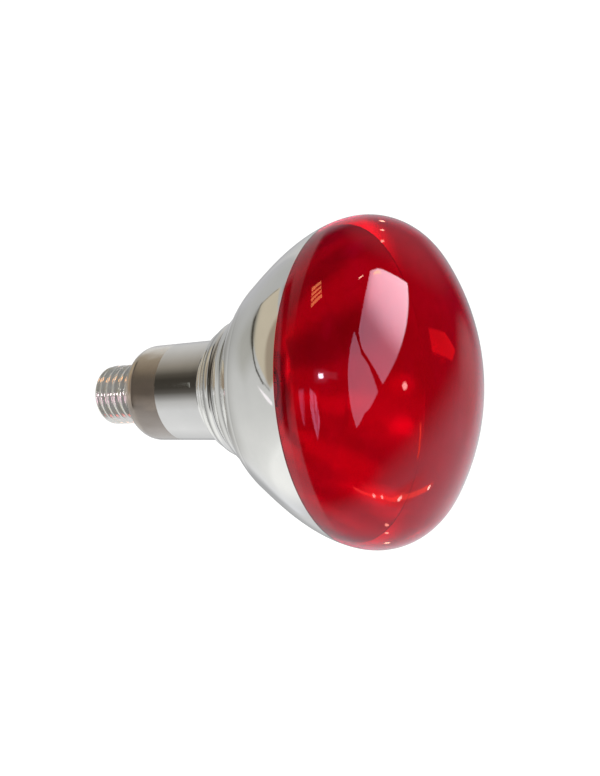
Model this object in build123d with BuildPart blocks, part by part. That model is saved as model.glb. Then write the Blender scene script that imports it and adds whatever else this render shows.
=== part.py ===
"""Infrared reflector heat lamp with a red face and a screw cap.

Millimetres. The lamp's axis is Z: the cap's centre contact lies on the origin and the red face
looks along +Z. The bulb is a blown shell that is silvered behind its widest circle and red in front.
"""

from build123d import *
from math import atan2, cos, degrees, radians, sin, sqrt
import os

# Driving sizes of the bulb
overall_length = 172.2
bulb_diameter = 125.0
glass_wall = 1.0
face_height = 35.0  # widest circle to the middle of the face
face_edge_radius = 23.3  # the round edge between the side and the flatter middle
bowl_depth = 69.9  # vertex of the paraboloid to the widest circle
knuckle_drop = 27.5  # from the widest circle down to where the paraboloid ends
knuckle_inset = 10.0  # how much narrower the bulb is there
red_edge_drop = 7.9  # from the widest circle down to the edge of the red
throat_radius = 28.6  # where the bowl's rolls end and the step to the neck starts
step_height = 14.3
neck_radius = 20.5
neck_flare = 0.45  # the neck is this much wider at its bowl end
flare_radius = 2.0  # hollow curve between the shoulder and the narrow end in the cap
seal_height = 13.0  # height of the edge where bulb and stem are melted together
# Points on the step's two rolled beads, as shares of its width and height
step_points = [(0.06, 0.16), (0.31, 0.26), (0.56, 0.37), (0.62, 0.50), (0.93, 0.71)]
crease_radius = 35.8  # crease between the two broad rolls at the foot of the bowl
crease_lift = 2.2  # how far the crease lies over the paraboloid
roll_bulge = 0.8  # the broad rolls stand out this far from straight
bowl_radius = 46.0  # where the rolls end and the smooth bowl starts

# Screw cap, 27 mm Edison size
cap_radius = 13.1  # over the crests of its rolled thread
thread_depth = 1.05  # the rolled grooves press this far into the cement
cap_rim_height = 24.2
cap_foot_height = 3.4
cap_foot_radius = 2.8
cap_sheet = 0.35
rim_gap = 0.6  # rim to the glass shoulder above it

# Capping cement
cement_thickness = 0.9  # least thickness, between a groove and the glass
cement_foot = 15.0

# Insulator and centre contact
contact_radius = 4.8
contact_thickness = 0.8
contact_edge_radius = 0.27
contact_eye_radius = 1.3
insulator_seat_radius = 5.6
insulator_top = 7.0
funnel_radius = 7.5
solder_depth = 1.1

# Stem
stem_tube_radius = 6.0
stem_wall = 1.0
stem_flare_height = 7.0
melt_drop = 1.1  # how far the melted edge hangs below the bulb's own edge
stem_tube_top = 36.0
pinch_blend = 4.8  # height over which the round tube turns into the flat pinch
pinch_top = 48.0
pinch_width = 13.0
pinch_thickness = 4.4
exhaust_radius = 2.4
exhaust_wall = 0.7
exhaust_tip_height = 9.5
exhaust_hole_radius = 1.0
exhaust_hole_rise = 1.5  # middle of the hole over the top of the tube

# Wires
lead_spread = 3.7  # seal wires to the lamp's axis
seal_wire_radius = 0.4
seal_wire_overhang = 2.0
inner_lead_radius = 0.6
inner_lead_bend = 2.0
inner_lead_straight = 5.0  # straight part over the heat shield and under the filament
inner_lead_overhang = 0.9  # top of the lead over the middle of the filament
outer_lead_radius = 0.25
outer_lead_bend = 1.2
outer_lead_turn = 0.8  # height of the turn over the exhaust tube's tip
centre_lead_dip = 1.0  # the centre lead meets the axis this far below the insulator's top
solder_bend = 0.4
solder_share = 0.5  # share of the solder ball's radius that the shell leaves inside
fuse_radius = 1.0
fuse_length = 9.0
fuse_start = 20.0

# Filament and what holds it
filament_radius = 12.0
filament_coil_radius = 0.6
filament_gap_angle = 60.0
support_count = 5
support_radius = 0.25
support_bend = 0.6
support_reach = 2.0  # level part of a hook outside the button
support_upright = 3.0  # upright part of a hook under the filament
rod_radius = 1.5
button_radius = 3.2
button_thickness = 3.0
button_edge_radius = 1.0
button_drop = 7.0  # button's top under the filament

# Heat shield
shield_height = 55.0
shield_thickness = 0.3
shield_clearance = 0.4
eyelet_radius = 1.3
eyelet_length = 1.6

# Fits
wire_fit = 0.05
insulator_fit = 0.05

# Worked out from the driving sizes
bulb_radius = bulb_diameter / 2
widest_height = overall_length - face_height
vertex_height = widest_height - bowl_depth
knuckle_height = widest_height - knuckle_drop
knuckle_radius = bulb_radius - knuckle_inset
focal_length = knuckle_radius**2 / 4 / (knuckle_height - vertex_height)
focus_height = vertex_height + focal_length
throat_height = vertex_height + throat_radius**2 / 4 / focal_length
neck_top_height = throat_height - step_height
neck_top_radius = neck_radius + neck_flare
shoulder_foot = cap_rim_height + rim_gap
red_edge_height = widest_height - red_edge_drop
face_sphere_radius = ((bulb_radius - face_edge_radius) ** 2 + face_height**2 - face_edge_radius**2) / (
    2 * (face_height - face_edge_radius)
)
face_sphere_drop = face_sphere_radius - face_height
face_edge_angle = degrees(atan2(face_sphere_drop, bulb_radius - face_edge_radius))
bore_radius = cap_radius - cap_sheet
cap_foot_edge = cap_radius - cap_foot_radius
cap_foot_top = cap_foot_height + cap_foot_radius
seal_radius = bore_radius - thread_depth - cement_thickness
shoulder_centre = seal_radius + flare_radius
shoulder_radius = neck_radius - shoulder_centre
cement_top = shoulder_foot - flare_radius  # where the glass starts to widen


def paraboloid_slope(radius):
    """Rise of the bowl's wall for one millimetre outwards."""
    return radius / 2 / focal_length


def wall_point(radius, inset, lift=0):
    """A point of the bowl's wall, lifted over the paraboloid and then moved inwards."""
    along = Vector(1, paraboloid_slope(radius)).normalized()
    return Vector(radius, vertex_height + radius**2 / 4 / focal_length + lift) + Vector(-along.Y, along.X) * inset


def rolled(start, end):
    """A roll of the glass between two creases."""
    outwards = Vector(end.Y - start.Y, start.X - end.X).normalized() * roll_bulge
    ThreePointArc(start, (start + end) / 2 + outwards, end)


def conic(start, start_slope, end, end_slope, inset):
    """A parabolic arc between two points and along two directions, moved inwards by the inset."""
    first = Vector(*start_slope).normalized()
    last = Vector(*end_slope).normalized()
    first_normal = Vector(-first.Y, first.X)
    last_normal = Vector(-last.Y, last.X)
    corner_lift = (Vector(*end) - Vector(*start)).cross(last).Z / first.cross(last).Z
    corner = Vector(*start) + first * corner_lift
    bisector = (first_normal + last_normal) * (inset / (1 + first_normal.dot(last_normal)))
    Bezier(
        Vector(*start) + first_normal * inset,
        corner + bisector,
        Vector(*end) + last_normal * inset,
    )


def bulb_wall(inset):
    """One face of the glass from the sealed end to the middle of the red face."""
    Line((seal_radius - inset, seal_height), (seal_radius - inset, cement_top))
    CenterArc((shoulder_centre, cement_top), flare_radius + inset, 90, 90)
    CenterArc((shoulder_centre, shoulder_foot + shoulder_radius), shoulder_radius - inset, 270, 90)
    neck_foot = (neck_radius - inset, shoulder_foot + shoulder_radius)
    neck_top = (neck_top_radius - inset, neck_top_height)
    Line(neck_foot, neck_top)
    throat = wall_point(throat_radius, inset)
    crease = wall_point(crease_radius, inset, crease_lift)
    if inset:
        Polyline(neck_top, throat, crease, wall_point(bowl_radius, inset))
    else:
        step_width = throat_radius - neck_top_radius
        root_curve, root_end, bead_curve, bead_end, lip_curve = [
            (neck_top_radius + outwards * step_width, neck_top_height + upwards * step_height)
            for outwards, upwards in step_points
        ]
        ThreePointArc(neck_top, root_curve, root_end)
        ThreePointArc(root_end, bead_curve, bead_end)
        ThreePointArc(bead_end, lip_curve, throat)
        rolled(throat, crease)
        rolled(crease, wall_point(bowl_radius, 0))
    knuckle = (knuckle_radius, knuckle_height)
    knuckle_slope = (1, paraboloid_slope(knuckle_radius))
    conic(wall_point(bowl_radius, 0), (1, paraboloid_slope(bowl_radius)), knuckle, knuckle_slope, inset)
    conic(knuckle, knuckle_slope, (bulb_radius, widest_height), (0, 1), inset)
    edge_centre = (bulb_radius - face_edge_radius, widest_height)
    sphere_centre = (0, widest_height - face_sphere_drop)
    CenterArc(edge_centre, face_edge_radius - inset, 0, face_edge_angle)
    CenterArc(sphere_centre, face_sphere_radius - inset, face_edge_angle, 90 - face_edge_angle)


def bulb_section():
    """The glass between its outer and inner faces, as a half section."""
    with BuildSketch(Plane.XZ) as section:
        with BuildLine():
            bulb_wall(0)
            bulb_wall(glass_wall)
            Line((seal_radius, seal_height), (seal_radius - glass_wall, seal_height))
            Line((0, overall_length), (0, overall_length - glass_wall))
        make_face()
    return section.sketch


def wire(points, bends, radius):
    """A round wire through the points, bent to the given radii."""
    with BuildPart() as bent:
        with BuildLine() as path:
            FilletPolyline(*points, radius=bends)
        with BuildSketch(Plane(origin=path.line @ 0, z_dir=path.line % 0)):
            Circle(radius)
        sweep()
    return bent.part


# Silvered body: sealed end, shoulder, neck, stepped beads and paraboloid bowl
with BuildPart() as reflector_body:
    add(bulb_section())
    revolve(axis=Axis.Z)
    split(bisect_by=Plane.XY.offset(red_edge_height), keep=Keep.BOTTOM)
reflector_body.part.label = "reflector_body"

# Red face: the front of the same blown bulb, from just behind its widest circle
with BuildPart() as red_face:
    add(bulb_section())
    revolve(axis=Axis.Z)
    split(bisect_by=Plane.XY.offset(red_edge_height), keep=Keep.TOP)
red_face.part.label = "red_face"

# Stem: trumpet, tube and pinch, melted to the bulb's edge at its foot
with BuildPart() as stem:
    with BuildSketch(Plane.XZ):
        with BuildLine():
            edge = seal_radius - glass_wall
            melt_foot = seal_height - melt_drop
            bore = stem_tube_radius - stem_wall
            trumpet_top = seal_height + stem_flare_height
            Bezier((seal_radius, seal_height), (seal_radius, melt_foot), (edge, melt_foot))
            Bezier((edge, melt_foot), (bore, melt_foot), (bore, trumpet_top))
            Line((bore, trumpet_top), (bore, stem_tube_top))
            Line((bore, stem_tube_top), (stem_tube_radius, stem_tube_top))
            Line((stem_tube_radius, stem_tube_top), (stem_tube_radius, trumpet_top))
            Bezier((stem_tube_radius, trumpet_top), (stem_tube_radius, seal_height), (edge, seal_height))
            Line((edge, seal_height), (seal_radius, seal_height))
        make_face()
    revolve(axis=Axis.Z)
    pinch_foot = stem_tube_top + pinch_blend
    with BuildSketch(Plane.XY.offset(stem_tube_top)):
        Circle(stem_tube_radius)
    with BuildSketch(Plane.XY.offset(pinch_foot)):
        SlotOverall(pinch_width, pinch_thickness)
    loft()
    with BuildSketch(Plane.XY.offset(pinch_foot)):
        SlotOverall(pinch_width, pinch_thickness)
    extrude(amount=pinch_top - pinch_foot)
    with BuildSketch(Plane.XY.offset(stem_tube_top)):
        Circle(exhaust_radius - exhaust_wall)
    extrude(amount=exhaust_hole_rise + exhaust_hole_radius, mode=Mode.SUBTRACT)
    with BuildSketch(Plane.XZ.offset(-stem_tube_radius)):
        with Locations((0, stem_tube_top + exhaust_hole_rise)):
            Circle(exhaust_hole_radius)
    extrude(amount=stem_tube_radius, mode=Mode.SUBTRACT)
    with BuildSketch(Plane.XY.offset(stem_tube_top)):
        with Locations((-lead_spread, 0), (lead_spread, 0)):
            Circle(seal_wire_radius)
    extrude(amount=pinch_top - stem_tube_top, mode=Mode.SUBTRACT)
stem.part.label = "stem"

# Exhaust tube, melted shut at its tip after pumping
with BuildPart() as exhaust_tube:
    with BuildSketch(Plane.XZ):
        with BuildLine():
            tip_bore = exhaust_radius - exhaust_wall
            tip = CenterArc((0, exhaust_tip_height + exhaust_radius), exhaust_radius, 270, 90)
            Line(tip @ 1, (exhaust_radius, stem_tube_top))
            Line((exhaust_radius, stem_tube_top), (tip_bore, stem_tube_top))
            Line((tip_bore, stem_tube_top), (tip_bore, exhaust_tip_height + exhaust_radius))
            inner_tip = CenterArc((0, exhaust_tip_height + exhaust_radius), tip_bore, 270, 90)
            Line(inner_tip @ 0, tip @ 0)
        make_face()
    revolve(axis=Axis.Z)
exhaust_tube.part.label = "exhaust_tube"

# Seal wires through the pinch, the only part of the leads that glass grips
with BuildPart() as seal_wires:
    with BuildSketch(Plane.XY.offset(stem_tube_top - seal_wire_overhang)):
        with Locations((-lead_spread, 0), (lead_spread, 0)):
            Circle(seal_wire_radius)
    extrude(amount=pinch_top - stem_tube_top + 2 * seal_wire_overhang)
seal_wires.part.label = "seal_wires"

# Inner leads, from the seal wires up to the two ends of the filament
lead_foot = pinch_top + seal_wire_overhang
lead_bend_height = shield_height + inner_lead_straight
gap_x = filament_radius * sin(radians(filament_gap_angle / 2))
gap_y = -filament_radius * cos(radians(filament_gap_angle / 2))
inner_leads = {}
for name, side in (("inner_lead_left", -1), ("inner_lead_right", 1)):
    route = [
        (side * lead_spread, 0, lead_foot),
        (side * lead_spread, 0, lead_bend_height),
        (side * gap_x, gap_y, focus_height - inner_lead_straight),
        (side * gap_x, gap_y, focus_height + inner_lead_overhang),
    ]
    with BuildPart() as lead:
        add(wire(route, inner_lead_bend, inner_lead_radius))
    inner_leads[name] = lead
    lead.part.label = name

# Filament: one coil bent to an open ring around the focus
with BuildPart() as filament:
    lead_angle = degrees(inner_lead_radius / filament_radius)
    start = -90 + filament_gap_angle / 2 + lead_angle
    sweep_angle = 360 - filament_gap_angle - 2 * lead_angle
    with BuildLine(Plane.XY.offset(focus_height)) as ring:
        CenterArc((0, 0), filament_radius, start, sweep_angle)
    with BuildSketch(Plane(origin=ring.line @ 0, z_dir=ring.line % 0)):
        Circle(filament_coil_radius)
    sweep()
filament.part.label = "filament"

# Glass support rod with the button that holds the filament's hooks
button_top = focus_height - button_drop
hook_height = button_top - button_thickness / 2
hook_inner = filament_radius - filament_coil_radius - support_radius - wire_fit
hook_top = focus_height + filament_coil_radius + support_radius + wire_fit
hook_route = [
    (rod_radius, 0, hook_height),
    (button_radius + support_reach, 0, hook_height),
    (hook_inner, 0, focus_height - support_upright),
    (hook_inner, 0, hook_top),
    (filament_radius + filament_coil_radius, 0, hook_top),
]
with BuildPart() as filament_supports:
    hook = wire(hook_route, support_bend, support_radius)
    support_step = (360 - filament_gap_angle) / (support_count + 1)
    first_support = -90 + filament_gap_angle / 2 + support_step
    support_range = support_step * support_count
    with PolarLocations(0, support_count, start_angle=first_support, angular_range=support_range):
        add(hook)
filament_supports.part.label = "filament_supports"

with BuildPart() as support_rod:
    with BuildSketch(Plane.XY.offset(pinch_top)):
        Circle(rod_radius)
    extrude(amount=button_top - button_thickness - pinch_top)
    with BuildSketch(Plane.XY.offset(button_top - button_thickness)):
        Circle(button_radius)
    extrude(amount=button_thickness)
    fillet(support_rod.faces().sort_by(Axis.Z)[-1].edges(), button_edge_radius)
    add(filament_supports.part, mode=Mode.SUBTRACT)
support_rod.part.label = "support_rod"

# Heat shield across the neck, carried by an eyelet on each lead
with BuildPart() as heat_shield:
    neck_foot_height = shoulder_foot + shoulder_radius
    neck_share = (shield_height - neck_foot_height) / (neck_top_height - neck_foot_height)
    neck_bore = neck_radius + neck_flare * neck_share - glass_wall
    with BuildSketch(Plane.XY.offset(shield_height)):
        Circle(neck_bore - shield_clearance)
        Circle(rod_radius + wire_fit, mode=Mode.SUBTRACT)
        with Locations((-lead_spread, 0), (lead_spread, 0)):
            Circle(inner_lead_radius + wire_fit, mode=Mode.SUBTRACT)
    extrude(amount=shield_thickness)
heat_shield.part.label = "heat_shield"

with BuildPart() as shield_eyelets:
    with BuildSketch(Plane.XY.offset(shield_height - eyelet_length)):
        with Locations((-lead_spread, 0), (lead_spread, 0)):
            Circle(eyelet_radius)
            Circle(inner_lead_radius, mode=Mode.SUBTRACT)
    extrude(amount=eyelet_length)
shield_eyelets.part.label = "shield_eyelets"

# Screw cap: a drawn sheet shell, open at the rim and turned in at the foot
with BuildPart() as cap_shell:
    with BuildSketch(Plane.XZ):
        with BuildLine():
            for inset in (0, cap_sheet):
                CenterArc((cap_foot_edge, cap_foot_top), cap_foot_radius - inset, 270, 90)
                Line((cap_radius - inset, cap_foot_top), (cap_radius - inset, cap_rim_height))
            Line((bore_radius, cap_rim_height), (cap_radius, cap_rim_height))
            Line((cap_foot_edge, cap_foot_height), (cap_foot_edge, cap_foot_height + cap_sheet))
        make_face()
    revolve(axis=Axis.Z)
cap_shell.part.label = "cap_shell"

# Glass insulator cast into the foot of the cap
with BuildPart() as cap_insulator:
    with BuildSketch(Plane.XZ):
        with BuildLine():
            foot_bore = cap_foot_radius - cap_sheet
            side = bore_radius - insulator_fit
            side_reach = side - cap_foot_edge
            side_angle = degrees(atan2(sqrt(foot_bore**2 - side_reach**2), side_reach))
            Polyline(
                (contact_eye_radius, contact_thickness),
                (insulator_seat_radius, contact_thickness),
                (cap_foot_edge, cap_foot_height),
                (cap_foot_edge, cap_foot_height + cap_sheet),
            )
            seat = CenterArc((cap_foot_edge, cap_foot_top), foot_bore, 270, 90 - side_angle)
            Polyline(
                seat @ 1,
                (side, insulator_top),
                (funnel_radius, insulator_top),
                (contact_eye_radius, contact_thickness + solder_depth),
                (contact_eye_radius, contact_thickness),
            )
        make_face()
    revolve(axis=Axis.Z)
cap_insulator.part.label = "cap_insulator"

# Centre contact, a brass eyelet, and the solder that fills its eye
with BuildPart() as centre_contact:
    with BuildSketch():
        Circle(contact_radius)
        Circle(contact_eye_radius, mode=Mode.SUBTRACT)
    extrude(amount=contact_thickness)
    foot = centre_contact.faces().sort_by(Axis.Z)[0]
    fillet(foot.edges().sort_by(SortBy.LENGTH)[-1], contact_edge_radius)
centre_contact.part.label = "centre_contact"

# Outer leads: one to the centre contact, one through a fuse to the rim
outer_foot = stem_tube_top - seal_wire_overhang
turn_height = exhaust_tip_height + outer_lead_turn
side_lead_radius = seal_radius + cement_thickness / 2
solder_ball_radius = (cap_rim_height - cement_top) / 2
solder_ball_reach = bore_radius - solder_share * solder_ball_radius
solder_ball_place = (-solder_ball_reach, 0, cap_rim_height - solder_ball_radius)
centre_route = [
    (lead_spread, 0, outer_foot),
    (lead_spread, 0, turn_height),
    (0, 0, insulator_top - centre_lead_dip),
    (0, 0, solder_depth / 2),
]
side_route = [
    (-lead_spread, 0, outer_foot),
    (-lead_spread, 0, turn_height),
    (-side_lead_radius, 0, turn_height),
    (-side_lead_radius, 0, cement_top),
    solder_ball_place,
]
with BuildPart() as outer_lead_centre:
    add(wire(centre_route, outer_lead_bend, outer_lead_radius))
outer_lead_centre.part.label = "outer_lead_centre"

with BuildPart() as outer_lead_side:
    add(wire(side_route, [outer_lead_bend, outer_lead_bend, solder_bend], outer_lead_radius))
outer_lead_side.part.label = "outer_lead_side"

with BuildPart() as fuse_sleeve:
    with BuildSketch(Plane.XY.offset(fuse_start)):
        with Locations((-lead_spread, 0)):
            Circle(fuse_radius)
            Circle(outer_lead_radius + wire_fit, mode=Mode.SUBTRACT)
    extrude(amount=fuse_length)
fuse_sleeve.part.label = "fuse_sleeve"

with BuildPart() as centre_solder:
    with BuildSketch():
        Circle(contact_eye_radius)
    extrude(amount=solder_depth)
    add(outer_lead_centre.part, mode=Mode.SUBTRACT)
centre_solder.part.label = "centre_solder"

with BuildPart() as side_solder:
    with Locations(solder_ball_place):
        Sphere(solder_ball_radius)
    with Locations((0, 0, cap_rim_height)):
        Cylinder(bore_radius, 2 * cap_rim_height, mode=Mode.INTERSECT)
    add(outer_lead_side.part, mode=Mode.SUBTRACT)
side_solder.part.label = "side_solder"

# Capping cement between the bulb's narrow end and the shell
with BuildPart() as capping_cement:
    with BuildSketch(Plane.XZ):
        Polygon(
            (seal_radius, cement_foot),
            (bore_radius, cement_foot),
            (bore_radius, cement_top),
            (seal_radius, cement_top),
            align=None,
        )
    revolve(axis=Axis.Z)
    with BuildSketch(Plane.XY.offset(cement_foot)):
        with Locations((-side_lead_radius, 0)):
            Circle(outer_lead_radius + wire_fit)
    extrude(amount=cement_top - cement_foot, mode=Mode.SUBTRACT)
capping_cement.part.label = "capping_cement"

pieces = [
    reflector_body,
    red_face,
    stem,
    exhaust_tube,
    seal_wires,
    inner_leads["inner_lead_left"],
    inner_leads["inner_lead_right"],
    filament,
    filament_supports,
    support_rod,
    heat_shield,
    shield_eyelets,
    cap_shell,
    cap_insulator,
    centre_contact,
    outer_lead_centre,
    outer_lead_side,
    fuse_sleeve,
    centre_solder,
    side_solder,
    capping_cement,
]
os.makedirs("parts", exist_ok=True)
for piece in pieces:
    export_step(piece.part, f"parts/{piece.part.label}.step")
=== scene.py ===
import math

import bmesh
import bpy
from mathutils import Matrix, Vector


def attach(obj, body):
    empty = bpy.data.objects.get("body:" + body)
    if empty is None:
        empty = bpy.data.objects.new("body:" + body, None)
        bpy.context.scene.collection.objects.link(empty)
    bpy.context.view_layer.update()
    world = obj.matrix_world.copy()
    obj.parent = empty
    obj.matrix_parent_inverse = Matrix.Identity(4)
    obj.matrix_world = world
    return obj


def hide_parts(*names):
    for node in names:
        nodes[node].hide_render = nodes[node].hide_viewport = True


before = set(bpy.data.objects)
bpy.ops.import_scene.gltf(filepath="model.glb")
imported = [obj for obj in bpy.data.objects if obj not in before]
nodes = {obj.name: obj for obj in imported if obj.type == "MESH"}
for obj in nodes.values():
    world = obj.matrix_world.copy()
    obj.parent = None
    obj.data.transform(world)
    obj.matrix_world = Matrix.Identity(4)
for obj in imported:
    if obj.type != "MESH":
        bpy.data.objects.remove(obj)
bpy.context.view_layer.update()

MM = 0.001

# Sizes of the lamp in millimetres, as in the CAD source
OVERALL = 172.2
BULB_R = 62.5
WALL = 1.0
FACE_H = 35.0
FACE_EDGE_R = 23.3
BOWL_DEPTH = 69.9
KNUCKLE_DROP = 27.5
KNUCKLE_INSET = 10.0
RED_DROP = 7.9
THROAT_R = 28.6
STEP_H = 14.3
CREASE_R = 35.8
CREASE_LIFT = 2.2
ROLL_BULGE = 0.8
BOWL_R = 46.0
NECK_R = 20.5
NECK_FLARE = 0.45
SEAL_R = 10.8
SEAL_Z = 13.0
FLARE_R = 2.0
CAP_R = 13.1
CAP_RIM = 24.2
CAP_FOOT_Z = 3.4
CAP_FOOT_R = 2.8
SHEET = 0.35
RIM_GAP = 0.6
FILM_Z = 44.8
FILM = 0.06
FILM_GAP = 0.01
FILM_LAP = 0.2
EDGE_GAP = 0.02
CONTACT_THICK = 0.8
CONTACT_EYE_R = 1.3
INSULATOR_SEAT_R = 5.6
INSULATOR_TOP = 7.0
FUNNEL_R = 7.5
SOLDER_DEPTH = 1.1
CEMENT_FOOT = 15.0
CAP_FOOT_EDGE = CAP_R - CAP_FOOT_R
CEMENT_TOP = CAP_RIM + RIM_GAP - FLARE_R
THREAD_PITCH = 3.629
THREAD_DEPTH = 1.05
THREAD_LOW = 4.6
THREAD_HIGH = 22.6
THREAD_RUN_IN = 1.6
THREAD_RUN_OUT = 1.4
THREAD_BORE = CAP_R - THREAD_DEPTH - SHEET - 0.05
# Points of the step between the neck and the bowl (radius, height), as shares of its size
STEP_POINTS = [(0.0, 0.0), (0.06, 0.16), (0.31, 0.26), (0.56, 0.37), (0.62, 0.50), (0.93, 0.71), (1.0, 1.0)]
# Height, half width and tone of the painted shade lines in the creases of the silvered glass
CREASE_PAINTED_SHADE = ((75.2, 1.6, 0.34), (80.2, 1.3, 0.45), (88.7, 1.2, 0.42), (100.0, 0.8, 0.78))
CREASE_SHADE_LOW = 60
CREASE_SHADE_SPAN = 45
# Steps of the turned meshes round the axis
GLASS_TURNS = 224
CAP_TURNS = 160
PLUG_TURNS = 128
CAP_ROWS = 150

WIDEST = OVERALL - FACE_H
VERTEX = WIDEST - BOWL_DEPTH
KNUCKLE_Z = WIDEST - KNUCKLE_DROP
KNUCKLE_R = BULB_R - KNUCKLE_INSET
FOCAL = KNUCKLE_R ** 2 / 4 / (KNUCKLE_Z - VERTEX)
THROAT_Z = VERTEX + THROAT_R ** 2 / 4 / FOCAL
NECK_TOP_Z = THROAT_Z - STEP_H
NECK_TOP_R = NECK_R + NECK_FLARE
STEP_W = THROAT_R - NECK_TOP_R
SHOULDER_FOOT = CAP_RIM + RIM_GAP
SHOULDER_CX = SEAL_R + FLARE_R
SHOULDER_R = NECK_R - SHOULDER_CX
RED_Z = WIDEST - RED_DROP
SPHERE_R = ((BULB_R - FACE_EDGE_R) ** 2 + FACE_H ** 2 - FACE_EDGE_R ** 2) / (2 * (FACE_H - FACE_EDGE_R))
SPHERE_DROP = SPHERE_R - FACE_H
EDGE_ANGLE = math.atan2(SPHERE_DROP, BULB_R - FACE_EDGE_R)


# ---------------------------------------------------------------- outlines
def arc(cx, cz, radius, start, end, count):
    """Points of an arc in degrees, both ends included."""
    out = []
    for i in range(count + 1):
        a = math.radians(start + (end - start) * i / count)
        out.append((cx + radius * math.cos(a), cz + radius * math.sin(a)))
    return out


def bezier(p, q, r, count):
    """Points of the parabola from p to r whose sides meet in q."""
    out = []
    for i in range(count + 1):
        t = i / count
        out.append(tuple((1 - t) ** 2 * a + 2 * t * (1 - t) * b + t * t * c for a, b, c in zip(p, q, r)))
    return out


def line(p, q, count):
    """Points of a straight run."""
    return [(p[0] + (q[0] - p[0]) * i / count, p[1] + (q[1] - p[1]) * i / count) for i in range(count + 1)]


def through(p, q, r, count):
    """Points of the arc through three points."""
    ax, ay = p
    bx, by = q
    cx, cy = r
    d = 2 * (ax * (by - cy) + bx * (cy - ay) + cx * (ay - by))
    ux = ((ax**2 + ay**2) * (by - cy) + (bx**2 + by**2) * (cy - ay) + (cx**2 + cy**2) * (ay - by)) / d
    uy = ((ax**2 + ay**2) * (cx - bx) + (bx**2 + by**2) * (ax - cx) + (cx**2 + cy**2) * (bx - ax)) / d
    radius = math.hypot(ax - ux, ay - uy)
    a0 = math.atan2(ay - uy, ax - ux)
    a1 = math.atan2(by - uy, bx - ux)
    a2 = math.atan2(cy - uy, cx - ux)

    def turn(a, b):
        return (a - b + math.pi) % (2 * math.pi) - math.pi

    sweep = turn(a1, a0) + turn(a2, a1)
    angles = [a0 + sweep * i / count for i in range(count + 1)]
    return [(ux + radius * math.cos(a), uy + radius * math.sin(a)) for a in angles]


def conic(p, ps, q, qs, inset, count):
    """A smooth run from p to q that leaves and arrives with the slopes ps and qs, moved in by inset."""
    leave = Vector(ps).normalized()
    arrive = Vector(qs).normalized()
    leave_side = Vector((-leave.y, leave.x))
    arrive_side = Vector((-arrive.y, arrive.x))
    cross = leave.x * arrive.y - leave.y * arrive.x
    delta = Vector(q) - Vector(p)
    lift = (delta.x * arrive.y - delta.y * arrive.x) / cross
    corner = Vector(p) + leave * lift
    bisector = (leave_side + arrive_side) * (inset / (1 + leave_side.dot(arrive_side)))
    start = tuple(Vector(p) + leave_side * inset)
    return bezier(start, tuple(corner + bisector), tuple(Vector(q) + arrive_side * inset), count)


def join(*runs):
    """Runs of points in one, without the points that they share."""
    out = []
    for run in runs:
        for p in run:
            if not out or math.dist(out[-1], p) > 1e-4:
                out.append(p)
    return out


def slope(r):
    """Slope of the bowl's paraboloid at a radius."""
    return r / 2 / FOCAL


def wall_point(radius, inset, lift=0.0):
    """A point of the paraboloid, moved in by inset and up by lift."""
    s = Vector((1, slope(radius))).normalized()
    return (radius - s.y * inset, VERTEX + radius ** 2 / 4 / FOCAL + lift + s.x * inset)


def rolled(p, q, count):
    """A roll of the glass between two creases."""
    n = Vector((q[1] - p[1], p[0] - q[0])).normalized() * ROLL_BULGE
    return through(p, ((p[0] + q[0]) / 2 + n.x, (p[1] + q[1]) / 2 + n.y), q, count)


def bulb_wall(inset):
    """Outline of one face of the glass, sealed end to the middle of the red face."""
    throat = wall_point(THROAT_R, inset)
    crease = wall_point(CREASE_R, inset, CREASE_LIFT)
    bowl = wall_point(BOWL_R, inset)
    step = [(NECK_TOP_R + u * STEP_W, NECK_TOP_Z + v * STEP_H) for u, v in STEP_POINTS]
    runs = [
        line((SEAL_R - inset, SEAL_Z), (SEAL_R - inset, SHOULDER_FOOT - FLARE_R), 6),
        arc(SHOULDER_CX, SHOULDER_FOOT - FLARE_R, FLARE_R + inset, 180, 90, 8),
        arc(SHOULDER_CX, SHOULDER_FOOT + SHOULDER_R, SHOULDER_R - inset, 270, 360, 20),
        line((NECK_R - inset, SHOULDER_FOOT + SHOULDER_R), (NECK_TOP_R - inset, NECK_TOP_Z), 12),
    ]
    if inset:
        runs.append(line((NECK_TOP_R - inset, NECK_TOP_Z), throat, 6))
        runs.append(line(throat, crease, 6))
        runs.append(line(crease, bowl, 6))
    else:
        runs.append(through(step[0], step[1], step[2], 10))
        runs.append(through(step[2], step[3], step[4], 10))
        runs.append(through(step[4], step[5], step[6], 14))
        runs.append(rolled(throat, crease, 14))
        runs.append(rolled(crease, bowl, 16))
    knuckle = (KNUCKLE_R, KNUCKLE_Z)
    runs.append(conic(wall_point(BOWL_R, 0), (1, slope(BOWL_R)), knuckle, (1, slope(KNUCKLE_R)), inset, 14))
    runs.append(conic(knuckle, (1, slope(KNUCKLE_R)), (BULB_R, WIDEST), (0, 1), inset, 26))
    runs.append(arc(BULB_R - FACE_EDGE_R, WIDEST, FACE_EDGE_R - inset, 0, math.degrees(EDGE_ANGLE), 36))
    runs.append(arc(0, WIDEST - SPHERE_DROP, SPHERE_R - inset, math.degrees(EDGE_ANGLE), 90, 40))
    return join(*runs)


def cut(points, z, upper):
    """The part of an outline over or under a height, with a point on it."""
    out = []
    for a, b in zip(points, points[1:]):
        ina = a[1] >= z if upper else a[1] <= z
        inb = b[1] >= z if upper else b[1] <= z
        if ina and (not out or out[-1] != a):
            out.append(a)
        if ina != inb:
            t = (z - a[1]) / (b[1] - a[1])
            out.append((a[0] + (b[0] - a[0]) * t, z))
    last = points[-1]
    if (last[1] >= z if upper else last[1] <= z):
        out.append(last)
    return out


# ---------------------------------------------------------------- meshes
def new_object(name, mesh):
    ob = bpy.data.objects.new(name, mesh)
    bpy.context.scene.collection.objects.link(ob)
    return ob


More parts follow.
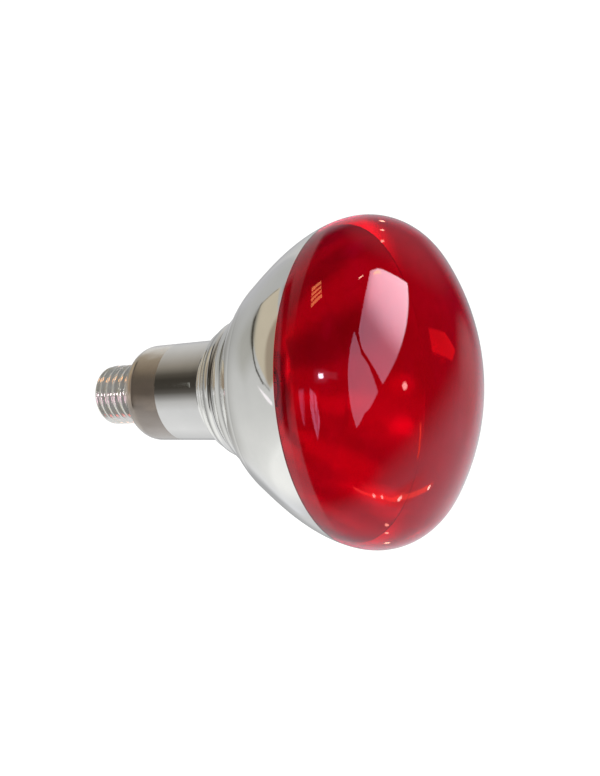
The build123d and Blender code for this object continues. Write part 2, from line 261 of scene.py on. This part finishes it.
def lathe(name, outline, turns, sharp, drop=None):
    """Turns a closed outline (radius, height in mm) round Z, with its faces outwards.

    A radius of 0 becomes one pole vertex. drop(radius, angle, height) is how far a vertex moves in.
    """
    verts, faces, rings = [], [], []
    for r, z in outline:
        if r < 1e-6:
            rings.append([len(verts)])
            verts.append((0, 0, z * MM))
        else:
            rings.append(list(range(len(verts), len(verts) + turns)))
            for i in range(turns):
                a = 2 * math.pi * i / turns
                rr = r - drop(r, a, z) if drop else r
                verts.append((rr * math.cos(a) * MM, rr * math.sin(a) * MM, z * MM))
    for a, b in zip(rings, rings[1:] + rings[:1]):
        if len(a) == 1 and len(b) == 1:
            continue
        for i in range(turns):
            j = (i + 1) % turns
            if len(a) == 1:
                faces.append((a[0], b[j], b[i]))
            elif len(b) == 1:
                faces.append((a[i], a[j], b[0]))
            else:
                faces.append((a[i], a[j], b[j], b[i]))
    mesh = bpy.data.meshes.new(name)
    mesh.from_pydata(verts, [], faces)
    mesh.validate()
    for face in mesh.polygons:
        face.use_smooth = True
    mesh.set_sharp_from_angle(angle=math.radians(sharp))
    bm = bmesh.new()
    bm.from_mesh(mesh)
    bmesh.ops.recalc_face_normals(bm, faces=bm.faces)
    bm.to_mesh(mesh)
    bm.free()
    return new_object(name, mesh)


# ---------------------------------------------------------------- materials
class Tree:
    """Shorthand for a tree of shader nodes."""

    def __init__(self, owner, output):
        owner.use_nodes = True
        self.t = owner.node_tree
        self.t.nodes.clear()
        self.out = self.t.nodes.new(output)

    def link(self, a, b):
        self.t.links.new(a, b)

    def new(self, kind, *values, **named):
        """A node, with its first sockets set or linked and its properties set."""
        n = self.t.nodes.new(kind)
        for k, v in named.items():
            setattr(n, k, v)
        for socket, v in zip(n.inputs, values):
            if isinstance(v, bpy.types.NodeSocket):
                self.link(v, socket)
            elif v is not None:
                socket.default_value = v
        return n

    def math(self, operation, *values):
        return self.new("ShaderNodeMath", *values, operation=operation).outputs[0]

    def step(self, value, low, high):
        """0 under low, 1 over high, smooth between."""
        n = self.new("ShaderNodeMapRange", value, low, high, interpolation_type="SMOOTHSTEP")
        return n.outputs[0]

    def band(self, value, low, high, soft):
        """1 between low and high, with soft edges."""
        a = self.step(value, low - soft, low + soft)
        b = self.step(value, high - soft, high + soft)
        return self.math("MULTIPLY", a, self.math("SUBTRACT", 1.0, b))

    def mix(self, fac, a, b, blend="MIX"):
        n = self.t.nodes.new("ShaderNodeMix")
        n.data_type = "RGBA"
        n.blend_type = blend
        for index, v in ((0, fac), (6, a), (7, b)):
            if isinstance(v, bpy.types.NodeSocket):
                self.link(v, n.inputs[index])
            else:
                n.inputs[index].default_value = v if index == 0 else (*v, 1)
        return n.outputs[2]

    def ramp(self, fac, stops):
        """Colour by a value, from (position, colour) stops."""
        n = self.new("ShaderNodeValToRGB", fac)
        elements = n.color_ramp.elements
        while len(elements) < len(stops):
            elements.new(0.5)
        for element, (at, colour) in zip(elements, stops):
            element.position = at
            element.color = (*colour, 1)
        return n.outputs[0]


class Nodes(Tree):
    """The nodes of one material, round a Principled shader."""

    def __init__(self, name):
        self.mat = bpy.data.materials.new(name)
        super().__init__(self.mat, "ShaderNodeOutputMaterial")
        self.p = self.new("ShaderNodeBsdfPrincipled")
        self.link(self.p.outputs[0], self.out.inputs["Surface"])

    def set(self, **values):
        for k, v in values.items():
            self.p.inputs[k.replace("_", " ")].default_value = v

    def to(self, value, name):
        self.link(value, self.p.inputs[name])

    def object_place(self, scale=(1, 1, 1)):
        place = self.new("ShaderNodeTexCoord").outputs["Object"]
        n = self.new("ShaderNodeMapping", place)
        n.inputs["Scale"].default_value = scale
        return n.outputs[0]

    def noise(self, scale, detail=3.0, rough=0.5, stretch=(1, 1, 1)):
        n = self.new("ShaderNodeTexNoise", self.object_place(stretch))
        for k, v in (("Scale", scale), ("Detail", detail), ("Roughness", rough)):
            n.inputs[k].default_value = v
        return n.outputs["Fac"]

    def remap(self, fac, low, high, to_low, to_high):
        return self.new("ShaderNodeMapRange", fac, low, high, to_low, to_high).outputs[0]

    def bump(self, height, strength, distance):
        n = self.new("ShaderNodeBump")
        n.inputs["Strength"].default_value = strength
        n.inputs["Distance"].default_value = distance
        self.link(height, n.inputs["Height"])
        self.to(n.outputs[0], "Normal")


def grey(v):
    return (v, v, v)


def metal(name, low, high, rough, scale, bump=0.05):
    """Plain metal between two tones and two roughnesses."""
    m = Nodes(name)
    m.set(Metallic=1.0)
    n = m.noise(scale, 4, 0.6)
    m.to(m.ramp(n, [(0.3, low), (0.7, high)]), "Base Color")
    m.to(m.remap(n, 0.3, 0.7, *rough), "Roughness")
    m.bump(n, bump, 0.0002)
    return m.mat


def silver_glass():
    """Clear glass with the bright film behind it, seen from outside, with painted shade in the creases."""
    m = Nodes("silvered_glass")
    m.set(Metallic=1.0, IOR=1.5, Coat_Weight=0.5, Coat_Roughness=0.02)
    tone = m.ramp(m.noise(60, 3, 0.55), [(0.3, (0.78, 0.785, 0.775)), (0.7, (0.84, 0.84, 0.83))])
    # Painted shade: the base colour is multiplied darker in narrow bands at the heights of the creases.
    height = m.new("ShaderNodeSeparateXYZ", m.object_place()).outputs[2]
    share = m.remap(height, CREASE_SHADE_LOW * MM, (CREASE_SHADE_LOW + CREASE_SHADE_SPAN) * MM, 0, 1)
    stops = [(0.0, grey(1.0))]
    for z, half, dark in CREASE_PAINTED_SHADE:
        stops += [((z + side * half - CREASE_SHADE_LOW) / CREASE_SHADE_SPAN, grey(dark if side == 0 else 1.0))
                  for side in (-1, 0, 1)]
    m.to(m.mix(1.0, tone, m.ramp(share, stops), "MULTIPLY"), "Base Color")
    m.to(m.remap(m.noise(900, 3, 0.6), 0.3, 0.7, 0.04, 0.08), "Roughness")
    m.bump(m.noise(35, 2, 0.4), 0.05, 0.002)
    return m.mat


def mirror_film():
    """The aluminium film itself, seen from inside, a little matt."""
    m = Nodes("mirror_film")
    m.set(Metallic=1.0)
    n = m.noise(80, 3, 0.55)
    m.to(m.ramp(n, [(0.3, (0.88, 0.88, 0.87)), (0.7, (0.96, 0.96, 0.95))]), "Base Color")
    m.to(m.remap(n, 0.3, 0.7, 0.12, 0.20), "Roughness")
    m.bump(m.noise(45, 2, 0.5), 0.12, 0.003)
    return m.mat


def neck_haze_with_painted_reflection():
    """The end of the neck: a brown haze, with painted reflections that make its tone lighter and darker
    round it.
    """
    m = Nodes("neck_haze_with_painted_reflection")
    m.set(Metallic=0.82, IOR=1.5, Coat_Weight=0.5, Coat_Roughness=0.02)
    place = m.new("ShaderNodeSeparateXYZ", m.object_place())
    turn = m.math("ARCTAN2", place.outputs[1], place.outputs[0])
    share = m.remap(turn, -math.pi, math.pi, 0, 1)
    # Painted reflection: the base colour goes from light silver to dark brown and back by the angle round
    # the axis, a little uneven.
    painted_reflection_turn = m.math("MULTIPLY_ADD", m.noise(110, 3, 0.55, (1, 1, 0.6)), 0.10, share)
    m.to(m.ramp(painted_reflection_turn, [
        (0.05, (0.52, 0.48, 0.43)), (0.28, (0.93, 0.92, 0.90)), (0.37, (0.94, 0.92, 0.87)),
        (0.435, (0.50, 0.42, 0.32)), (0.54, (0.52, 0.42, 0.34)), (0.61, (0.27, 0.23, 0.20)),
        (0.70, (0.42, 0.38, 0.35)), (0.78, (0.62, 0.58, 0.55)), (0.98, (0.50, 0.44, 0.38))]),
        "Base Color")
    m.to(m.remap(m.noise(120, 4, 0.6), 0.3, 0.7, 0.05, 0.12), "Roughness")
    m.bump(m.noise(40, 2, 0.4), 0.05, 0.002)
    return m.mat


def red_glass():
    """Glass with a transparent red lacquer."""
    m = Nodes("red_glass")
    m.set(IOR=1.5, Transmission_Weight=1.0, Specular_Tint=(1.0, 0.80, 1.0, 1))
    m.to(m.ramp(m.noise(55, 4, 0.6), [(0.25, (0.72, 0.001, 0.050)), (0.75, (0.84, 0.003, 0.090))]),
         "Base Color")
    m.to(m.remap(m.noise(1200, 2, 0.5), 0.55, 0.75, 0.0, 0.02), "Roughness")
    m.bump(m.noise(28, 2, 0.4), 0.03, 0.002)
    return m.mat


def clear_glass():
    m = Nodes("clear_glass")
    m.set(IOR=1.5, Transmission_Weight=1.0)
    n = m.noise(200, 3, 0.6)
    m.to(m.ramp(n, [(0.3, (0.93, 0.95, 0.94)), (0.7, (0.96, 0.98, 0.97))]), "Base Color")
    m.to(m.remap(n, 0.3, 0.7, 0.0, 0.04), "Roughness")
    return m.mat


def cap_metal():
    """Thin bright sheet with a little tarnish."""
    m = Nodes("cap_metal")
    m.set(Metallic=0.66, IOR=1.5, Coat_Weight=0.7, Coat_Roughness=0.05)
    n = m.noise(260, 4, 0.6)
    m.to(m.ramp(n, [(0.25, (0.89, 0.84, 0.68)), (0.5, (0.96, 0.95, 0.89)), (0.8, (0.97, 0.98, 0.95))]),
         "Base Color")
    m.to(m.remap(n, 0.3, 0.7, 0.13, 0.22), "Roughness")
    m.bump(m.noise(1500, 3, 0.6, (1, 1, 4)), 0.05, 0.0001)
    return m.mat


def black_glass():
    m = Nodes("black_glass")
    m.set(IOR=1.5)
    n = m.noise(500, 4, 0.6)
    m.to(m.ramp(n, [(0.3, (0.012, 0.012, 0.016)), (0.7, (0.03, 0.03, 0.036))]), "Base Color")
    m.to(m.remap(n, 0.3, 0.7, 0.08, 0.2), "Roughness")
    m.bump(n, 0.1, 0.0002)
    return m.mat


def cement():
    m = Nodes("cement")
    n = m.noise(900, 6, 0.7)
    m.to(m.ramp(n, [(0.3, (0.55, 0.48, 0.38)), (0.7, (0.74, 0.68, 0.58))]), "Base Color")
    m.to(m.remap(n, 0.3, 0.7, 0.7, 0.95), "Roughness")
    m.bump(n, 0.3, 0.0005)
    return m.mat


MATS = {
    "silver": silver_glass(),
    "film": mirror_film(),
    # the neck's end: brown haze with painted reflections round it
    "haze_reflection": neck_haze_with_painted_reflection(),
    "red": red_glass(),
    "clear": clear_glass(),
    "cap": cap_metal(),
    "black": black_glass(),
    "cement": cement(),
    "lead": metal("lead_metal", (0.55, 0.52, 0.47), (0.70, 0.67, 0.62), (0.2, 0.4), 900),
    "tungsten": metal("tungsten", (0.20, 0.20, 0.21), (0.36, 0.36, 0.38), (0.3, 0.5), 1500),
    "shield": metal("shield_sheet", (0.68, 0.68, 0.68), (0.80, 0.80, 0.79), (0.22, 0.4), 300),
    "brass": metal("contact_brass", (0.66, 0.50, 0.26), (0.80, 0.64, 0.36), (0.2, 0.4), 500),
    "solder": metal("solder", (0.55, 0.55, 0.56), (0.72, 0.72, 0.73), (0.25, 0.45), 700, 0.2),
}


def dress(ob, mat):
    ob.data.materials.clear()
    ob.data.materials.append(MATS[mat])


def piece(ob, mat, slot, *replaced):
    dress(ob, mat)
    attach(ob, "root")
    if replaced:
        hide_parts(*replaced)
    return ob


# ---------------------------------------------------------------- the blown bulb
outer = bulb_wall(0)
inner = bulb_wall(WALL)
film_back = bulb_wall(WALL + FILM_GAP)
film_front = bulb_wall(WALL + FILM_GAP + FILM)


def shell(name, outside, inside, low, high, mat, slot, node):
    """The glass, or its film, between two heights."""
    def run(points):
        kept = cut(points, low, True) if low else points
        return cut(kept, high, False) if high else kept
    ob = lathe(name, run(outside) + run(inside)[::-1], GLASS_TURNS, 60)
    piece(ob, mat, slot, node)


shell("bulb_silvered", outer, inner, FILM_Z, RED_Z - EDGE_GAP, "silver", "silvered_glass", "reflector_body")
shell("bulb_mirror_film", film_back, film_front, FILM_Z, RED_Z + FILM_LAP,
      "film", "silvered_glass", "reflector_body")
# The neck's end: brown haze with painted reflections round it.
shell("bulb_neck_end", outer, inner, None, FILM_Z, "haze_reflection", "silvered_glass", "reflector_body")
shell("bulb_red_face", outer, inner, RED_Z, None, "red", "red_glass", "red_face")


# ---------------------------------------------------------------- the screw cap
def ease(t):
    t = max(0.0, min(1.0, t))
    return t * t * (3 - 2 * t)


def thread_drop(radius, angle, z):
    """How far the rolled sheet lies inside the crest radius. Its rounded foot carries no thread."""
    if radius <= CAP_FOOT_EDGE:
        return 0
    share = ease((z - THREAD_LOW) / THREAD_RUN_IN) * ease((THREAD_HIGH - z) / THREAD_RUN_OUT)
    turn = (z - THREAD_LOW) / THREAD_PITCH - angle / 2 / math.pi
    return THREAD_DEPTH * share * (1 - math.cos(2 * math.pi * turn)) / 2


def cap_face(inset):
    """Outline of one face of the sheet: the rounded foot and the wall."""
    foot = arc(CAP_FOOT_EDGE, CAP_FOOT_Z + CAP_FOOT_R, CAP_FOOT_R - inset, 270, 360, 10)
    return join(foot, line(foot[-1], (CAP_R - inset, CAP_RIM), CAP_ROWS))


cap = lathe("cap_rolled_shell", cap_face(0) + cap_face(SHEET)[::-1], CAP_TURNS, 60, thread_drop)
piece(cap, "cap", "cap_metal", "cap_shell")

SEAT_GAP = 0.02
RIM_CEMENT_R = CAP_R - SHEET - 0.35
insulator = [
    (CONTACT_EYE_R, CONTACT_THICK), (INSULATOR_SEAT_R, CONTACT_THICK), (CAP_FOOT_EDGE, CAP_FOOT_Z),
    (CAP_FOOT_EDGE, CAP_FOOT_Z + SHEET + SEAT_GAP), (THREAD_BORE - 0.25, CAP_FOOT_Z + 1.1),
    (THREAD_BORE, CAP_FOOT_Z + 1.9), (THREAD_BORE, INSULATOR_TOP), (FUNNEL_R, INSULATOR_TOP),
    (CONTACT_EYE_R, CONTACT_THICK + SOLDER_DEPTH)]
piece(lathe("cap_black_glass", insulator, PLUG_TURNS, 30), "black", "black_glass", "cap_insulator")
cement_outer = [(THREAD_BORE if z < THREAD_HIGH - 0.6 else RIM_CEMENT_R, z) for z in (
    CEMENT_FOOT, CEMENT_FOOT + 2, CEMENT_FOOT + 4, THREAD_HIGH - 1, THREAD_HIGH, CEMENT_TOP)]
cement_ring = [(SEAL_R + SEAT_GAP, CEMENT_FOOT)] + cement_outer + [(SEAL_R + SEAT_GAP, CEMENT_TOP)]
piece(lathe("cap_cement_ring", cement_ring, PLUG_TURNS, 30), "cement", "cement", "capping_cement")

# ---------------------------------------------------------------- carried-over CAD nodes
for mat, names in {
    "clear": ("stem", "exhaust_tube", "support_rod", "fuse_sleeve"),
    "lead": ("seal_wires", "inner_lead_left", "inner_lead_right", "shield_eyelets", "outer_lead_centre",
             "outer_lead_side"),
    "tungsten": ("filament", "filament_supports"),
    "shield": ("heat_shield",),
    "brass": ("centre_contact",),
    "solder": ("centre_solder", "side_solder"),
}.items():
    for name in names:
        dress(nodes[name], mat)

# ---------------------------------------------------------------- camera
IMAGE_WIDTH, IMAGE_HEIGHT = 600, 776
SENSOR = 36.0
FOCAL_PX = 931.0
DISTANCE = 354.4
TILT = 0.546
ROLL = 0.047
# Where the point of the axis at this height lies in the picture
AXIS_U, AXIS_V, AXIS_Z = 361.5, 383.0, 129.51

ct, st, cr, sr = math.cos(TILT), math.sin(TILT), math.cos(ROLL), math.sin(ROLL)
z_axis = Vector((ct * cr, -ct * sr, -st))
x_axis = Vector((-st * cr, st * sr, -ct))
y_axis = z_axis.cross(x_axis)
in_picture = ((AXIS_U - IMAGE_WIDTH / 2) / FOCAL_PX, (AXIS_V - IMAGE_HEIGHT / 2) / FOCAL_PX, 1)
origin = Vector(in_picture) * DISTANCE - z_axis * AXIS_Z
right = Vector((x_axis.x, y_axis.x, z_axis.x))
down = Vector((x_axis.y, y_axis.y, z_axis.y))
ahead = Vector((x_axis.z, y_axis.z, z_axis.z))
place = -Vector((origin.dot(x_axis), origin.dot(y_axis), origin.dot(z_axis))) * MM
cam_data = bpy.data.cameras.new("photo_camera")
cam_data.sensor_width = SENSOR
cam_data.lens = FOCAL_PX / IMAGE_HEIGHT * SENSOR
cam_data.clip_start = 0.01
cam_data.clip_end = 100
cam = new_object("photo_camera", cam_data)
cam.matrix_world = Matrix.Translation(place) @ Matrix((right, -down, -ahead)).transposed().to_4x4()
bpy.context.scene.camera = cam

# ---------------------------------------------------------------- floor
FLOOR_Z = -0.35
FLOOR_HALF = 12.0
FLOOR_TONE = (0.86, 0.86, 0.85, 1)
FLOOR_GLOW = 0.30

floor_mesh = bpy.data.meshes.new("floor")
corners = [(-1, -1), (1, -1), (1, 1), (-1, 1)]
floor_mesh.from_pydata([(x * FLOOR_HALF, y * FLOOR_HALF, FLOOR_Z) for x, y in corners], [], [(0, 1, 2, 3)])
new_object("floor", floor_mesh)
floor_mat = bpy.data.materials.new("floor")
ft = Tree(floor_mat, "ShaderNodeOutputMaterial")
path = ft.new("ShaderNodeLightPath").outputs
pale = ft.new("ShaderNodeBsdfDiffuse", FLOOR_TONE).outputs[0]
shine = ft.math("MULTIPLY", path["Is Camera Ray"], FLOOR_GLOW)
glow = ft.new("ShaderNodeEmission", (1, 1, 1, 1), shine).outputs[0]
clear = ft.new("ShaderNodeBsdfTransparent").outputs[0]
seen = ft.new("ShaderNodeAddShader", pale, glow).outputs[0]
mirrored = ft.math("MAXIMUM", path["Is Glossy Ray"], path["Is Transmission Ray"])
ft.link(ft.new("ShaderNodeMixShader", mirrored, seen, clear).outputs[0], ft.out.inputs[0])
floor_mesh.materials.append(floor_mat)

# ---------------------------------------------------------------- the light round the lamp
# Directions are an azimuth from +X and an elevation, in degrees.
world = bpy.data.worlds.new("studio")
bpy.context.scene.world = world
wt = Tree(world, "ShaderNodeOutputWorld")
way = wt.new("ShaderNodeTexCoord").outputs["Generated"]
way_x, way_y, way_z = wt.new("ShaderNodeSeparateXYZ", way).outputs
azimuth = wt.math("DEGREES", wt.math("ARCTAN2", way_y, way_x))
elevation = wt.math("DEGREES", wt.math("ARCSINE", way_z))


def towards(az, el):
    az, el = math.radians(az), math.radians(el)
    return Vector((math.cos(el) * math.cos(az), math.cos(el) * math.sin(az), math.sin(el)))


def along(v):
    """Cosine of the angle between the direction looked in and a given one."""
    return wt.new("ShaderNodeVectorMath", way, tuple(v), operation="DOT_PRODUCT").outputs["Value"]


def lay(mask, colour, strength=1.0):
    """Lays a colour over the room that is being painted."""
    global room
    room = wt.mix(wt.math("MULTIPLY", mask, strength), room, colour)


def patch(colour, az, el, soft, strength=1.0):
    """A soft-edged patch between two azimuths and two elevations."""
    mask = wt.math("MULTIPLY", wt.band(azimuth, *az, soft[0]), wt.band(elevation, *el, soft[1]))
    lay(mask, colour, strength)


def spot(colour, az, el, radius, soft, strength=1.0):
    """A round patch."""
    edge, core = math.radians(radius + soft), math.radians(max(radius - soft, 0))
    lay(wt.step(along(towards(az, el)), math.cos(edge), math.cos(core)), colour, strength)


def pane(corners, soft=0.006):
    """Mask of an area with straight edges between corners."""
    dirs = [towards(*c) for c in corners]
    centre = sum(dirs, Vector()) / len(dirs)
    mask = None
    for p, q in zip(dirs, dirs[1:] + dirs[:1]):
        n = p.cross(q).normalized()
        edge = wt.step(along(n if n.dot(centre) >= 0 else -n), -soft, soft)
        mask = edge if mask is None else wt.math("MULTIPLY", mask, edge)
    return mask


def window(colour, corners, soft=0.006, strength=1.0):
    lay(pane(corners, soft), colour, strength)


def ramp_az(stops):
    """Colour by azimuth, from (azimuth, tone, warmth) stops."""
    return wt.ramp(wt.math("DIVIDE", wt.math("ADD", azimuth, 180), 360), [
        ((az + 180) / 360, (tone, tone * (1 - 0.25 * warm), tone * (1 - 0.6 * warm)))
        for az, tone, warm in stops])


def streak(colour, p, q, wide, strength=1.0, fade=0.02):
    """A narrow line from one direction to another."""
    a, b = towards(*p), towards(*q)
    line_way = (b - a).normalized()
    across = wt.math("ABSOLUTE", along(a.cross(b).normalized()))
    same_side = wt.math("GREATER_THAN", along((a + b).normalized()), 0.3)
    thin = wt.math("SUBTRACT", 1.0, wt.step(across, wide * 0.4, wide))
    length = wt.band(along(line_way), a.dot(line_way), b.dot(line_way), fade)
    lay(wt.math("MULTIPLY", wt.math("MULTIPLY", same_side, thin), length), colour, strength)


# The room that metal and glass reflect: it grows lighter towards +Y, and its upper part is dark
LEVEL_FROM, LEVEL_SPAN = -0.30, 0.80
LEVELS = ((0.0, 0.49), (0.3125, 0.615), (0.575, 0.69), (0.7625, 0.775), (0.875, 0.87), (0.94, 1.0))
share = wt.math("DIVIDE", wt.math("SUBTRACT", way_y, LEVEL_FROM), LEVEL_SPAN)
level = wt.ramp(share, [(at, grey(tone)) for at, tone in LEVELS])
below = wt.new("ShaderNodeCombineXYZ", level, level, wt.math("MULTIPLY", level, 0.975)).outputs[0]
room = wt.mix(wt.step(elevation, -46, -26), below, (0.010, 0.010, 0.011))
# pale walls and darker places between them
spot((0.60, 0.61, 0.65), 134, 2, 50, 11)
spot((0.90, 0.91, 0.93), 158, -22, 22, 20, 0.8)
spot((0.50, 0.50, 0.52), -155, -25, 24, 12)
spot((0.25, 0.25, 0.27), -132, 8, 18, 14, 0.8)
spot((0.78, 0.77, 0.76), -176, -36, 7, 6, 0.7)
spot(grey(0.46), 180, 18, 9, 6, 0.9)
spot(grey(0.20), 158, -37, 9, 9, 0.7)
spot(grey(0.30), -166, -34, 5, 8, 0.4)
# the dark side of the room, and the belt round it that the neck reflects
patch((0.028, 0.022, 0.018), (-92, 36), (-51, -20), (8, 2.5))
belt = ramp_az([
    (-178, 0.62, 0.0), (-139, 0.62, 0.05), (-115, 0.58, 0.10), (-86, 0.45, 0.25), (-63, 0.30, 0.42),
    (-42, 0.095, 0.5), (-30, 0.050, 0.5), (-10, 0.055, 0.45), (2, 0.11, 0.3), (14, 0.33, 0.1),
    (24, 0.56, 0.05), (45, 0.74, 0.0), (100, 0.82, 0.0), (140, 0.66, 0.0), (178, 0.62, 0.0)])
lay(wt.math("MULTIPLY", wt.band(elevation, -44, -31, 1.5), wt.band(azimuth, -150, 150, 20)), belt)
streak((0.55, 0.55, 0.50), (-20, -39.2), (-9, -38.6), 0.008, 0.8)
# a table with dark edges and what stands on it
window((0.60, 0.53, 0.41), [(-100, -53), (-122, -60.5), (-122, -64.5), (-112, -70), (-95, -76), (-37, -79.5),
                            (-5, -73.5), (4, -65), (-12, -56), (-60, -55)], 0.008)
window((0.34, 0.27, 0.20), [(-80, -57), (-68, -63.5), (-57, -69), (-45, -76), (-16, -77), (0, -66),
                            (-10, -54), (-50, -52)], 0.045, 0.85)
streak((0.10, 0.09, 0.07), (-123, -62), (-103, -74), 0.046, 0.65, 0.05)
streak((0.34, 0.33, 0.28), (-128, -64), (-100, -82), 0.16, 0.5, 0.1)
for p, q, wide, strength in (
        ((-101, -54), (-123, -61), 0.009, 0.5), ((-122, -60), (-121, -65), 0.012, 0.8),
        ((-121.5, -64.5), (-95, -76.2), 0.020, 0.95), ((-97, -75.8), (-37, -79.7), 0.013, 0.95),
        ((-39, -79.6), (-5, -73.9), 0.013, 0.95), ((-7, -74), (4, -66), 0.010, 0.5)):
    streak((0.045, 0.04, 0.03), p, q, wide, strength, 0.01)
window((1.15, 1.09, 1.12), [(-9, -81.5), (2.5, -77.3), (10.5, -69.6), (15.6, -64), (21.2, -64), (17, -70),
                            (12, -77)])
spot((0.20, 0.19, 0.17), 180, -60, 10, 9, 0.7)
# two tall windows, the first brighter towards one corner
window_a = [(-108.1, 40.1), (-138.8, 39.3), (172, 83.2), (-72.3, 67.2)]
window_b = [(-56, 41), (-88, 82.2), (137.3, 84.4), (88, 79.3), (43, 45), (-6, 25)]
bright = wt.step(along(towards(-136, 47)), math.cos(math.radians(27)), math.cos(math.radians(3)))
window(wt.mix(bright, (3.0, 2.8, 3.1), (10.0, 9.4, 9.4)), window_a)
lay(wt.math("MULTIPLY", pane(window_b), wt.step(elevation, 61.4, 62.6)), (2.6, 2.4, 2.7))
# a lamp with its glow
patch((2.2, 1.0, 1.4), (-9, -2), (9, 27), (2.5, 6), 0.6)
streak((1.5, 0.9, 1.1), (-6.5, 24), (-6, 44), 0.05, 0.4, 0.06)
patch((34.0, 33.0, 34.0), (-7.0, -4.1), (14.2, 21.4), (0.9, 1.8))
# a small window with three bars
window((8.0, 3.4, 1.1), [(-63.4, -14.8), (-67.7, -5.0), (-56.4, 4.0), (-48.7, -8.5)], 0.008)
for t in (0.25, 0.50, 0.75):
    streak((0.3, 0.02, 0.02), (-67.7 + 11.3 * t, -5.0 + 9.0 * t), (-63.4 + 14.7 * t, -14.8 + 6.3 * t),
           0.020, 0.9, 0.01)
# cloth on the wall, with folds
window((4.4, 2.5, 3.4), [(2, -1), (6, 8), (22, 10), (30, 4), (34, 0), (14, -3)], 0.022, 0.85)
window((2.6, 1.3, 2.0), [(2, -8), (3, -21), (24, -19), (26, -12), (12, -12)], 0.025, 0.7)
for p, q, wide in (((3, 5), (24, 3), 0.016), ((5, -4), (20, 7), 0.010), ((12, 9), (33, 1), 0.012),
                   ((4, -12), (22, -16), 0.014)):
    streak((0.3, 0.04, 0.08), p, q, wide, 0.7, 0.03)
# small lights and what they fall on
for p, q, wide in (((-90, 38), (-97, 39.5), 0.012), ((-114, 43.5), (-122, 42.5), 0.02)):
    streak((16.0, 12.0, 7.0), p, q, wide, 0.9, 0.01)
streak((3.0, 0.25, 0.20), (84, 33), (140, 35), 0.11, 0.55, 0.12)
for p, q, wide in (((76, 23.5), (98, 34.6), 0.030), ((95, 34), (112, 38.4), 0.034),
                   ((107, 38.6), (131, 36.8), 0.034), ((127, 37.4), (147, 27.7), 0.026)):
    streak((6.5, 0.7, 0.5), p, q, wide, 0.75, 0.05)
for az, el, radius in ((174.6, 70.7, 1.1), (98.4, 34.8, 1.2), (109.4, 38.1, 1.0), (129.0, 36.5, 0.6),
                       (146.3, 27.9, 0.2)):
    spot((14.0, 9.5, 7.5), az, el, radius, 0.8, 0.9)
for az, el, radius in ((-139.8, -8.2, 1.0), (-129.7, 6.1, 1.0), (-124.8, 19.2, 1.3), (118.2, 14.2, 1.4),
                       (122.8, 4.6, 1.1), (134.8, -9.9, 1.2)):
    spot((11.0, 5.0, 3.5), az, el, radius, 0.8, 0.9)
streak((6.0, 0.6, 0.3), (154, 56), (142, 47), 0.012, 0.9, 0.02)
window((3.6, 0.05, 0.05), [(-156.6, 46.4), (-164.6, 35.6), (-171.5, 31), (-174.1, 35.7), (-166.6, 50)],
       0.01, 0.9)
studio = room

# The surroundings seen through the red glass and in the film behind it: even and pale, with soft patches
room = grey(0.62)
spot(grey(0.26), 60, 44, 16, 14, 0.85)
lay(wt.step(elevation, 64, 76), grey(0.25), 0.9)
for tone, az, el, radius, soft, strength in (
        (1.15, -88, 31, 8, 10, 0.8), (1.25, -20, 46, 5, 6, 0.8), (1.4, -35, 66, 6, 8, 0.8),
        (1.35, -3, 25, 5, 7, 0.8), (1.0, -30, 20, 18, 14, 0.6)):
    spot(grey(tone), az, el, radius, soft, strength)
for tone, az, el, soft, strength in (
        (1.6, (-110, -92), (3, 18), (5, 4), 0.9), (0.52, (165, 200), (-40, -18), (6, 4), 1.0),
        (0.52, (-200, -165), (-40, -18), (6, 4), 1.0), (2.9, (-172, -150), (-34, -25), (3, 1.5), 0.9),
        (1.8, (150, 171), (-36, -25), (3, 1.5), 0.8)):
    patch(grey(tone), az, el, soft, strength)
spot(grey(1.9), -37, 22, 5, 5, 0.9)
window(wt.mix(bright, grey(2.0), grey(4.5)), window_a, 0.006, 0.6)
surroundings = room

# Matt surfaces get plain soft light, a little stronger from above, and the camera sees a white backdrop
plain = wt.mix(wt.step(elevation, -60, 60), grey(0.74), grey(0.98))
soft_light, room_light, through, backdrop = (
    wt.new("ShaderNodeBackground", colour, 1.0).outputs[0]
    for colour in (plain, studio, surroundings, (1, 1, 1, 1)))
ray = wt.new("ShaderNodeLightPath").outputs
light = wt.new("ShaderNodeMixShader", ray["Is Glossy Ray"], soft_light, room_light).outputs[0]
light = wt.new("ShaderNodeMixShader", ray["Is Transmission Ray"], light, through).outputs[0]
light = wt.new("ShaderNodeMixShader", ray["Is Camera Ray"], light, backdrop).outputs[0]
wt.link(light, wt.out.inputs[0])

bpy.context.scene.view_settings.view_transform = "Standard"
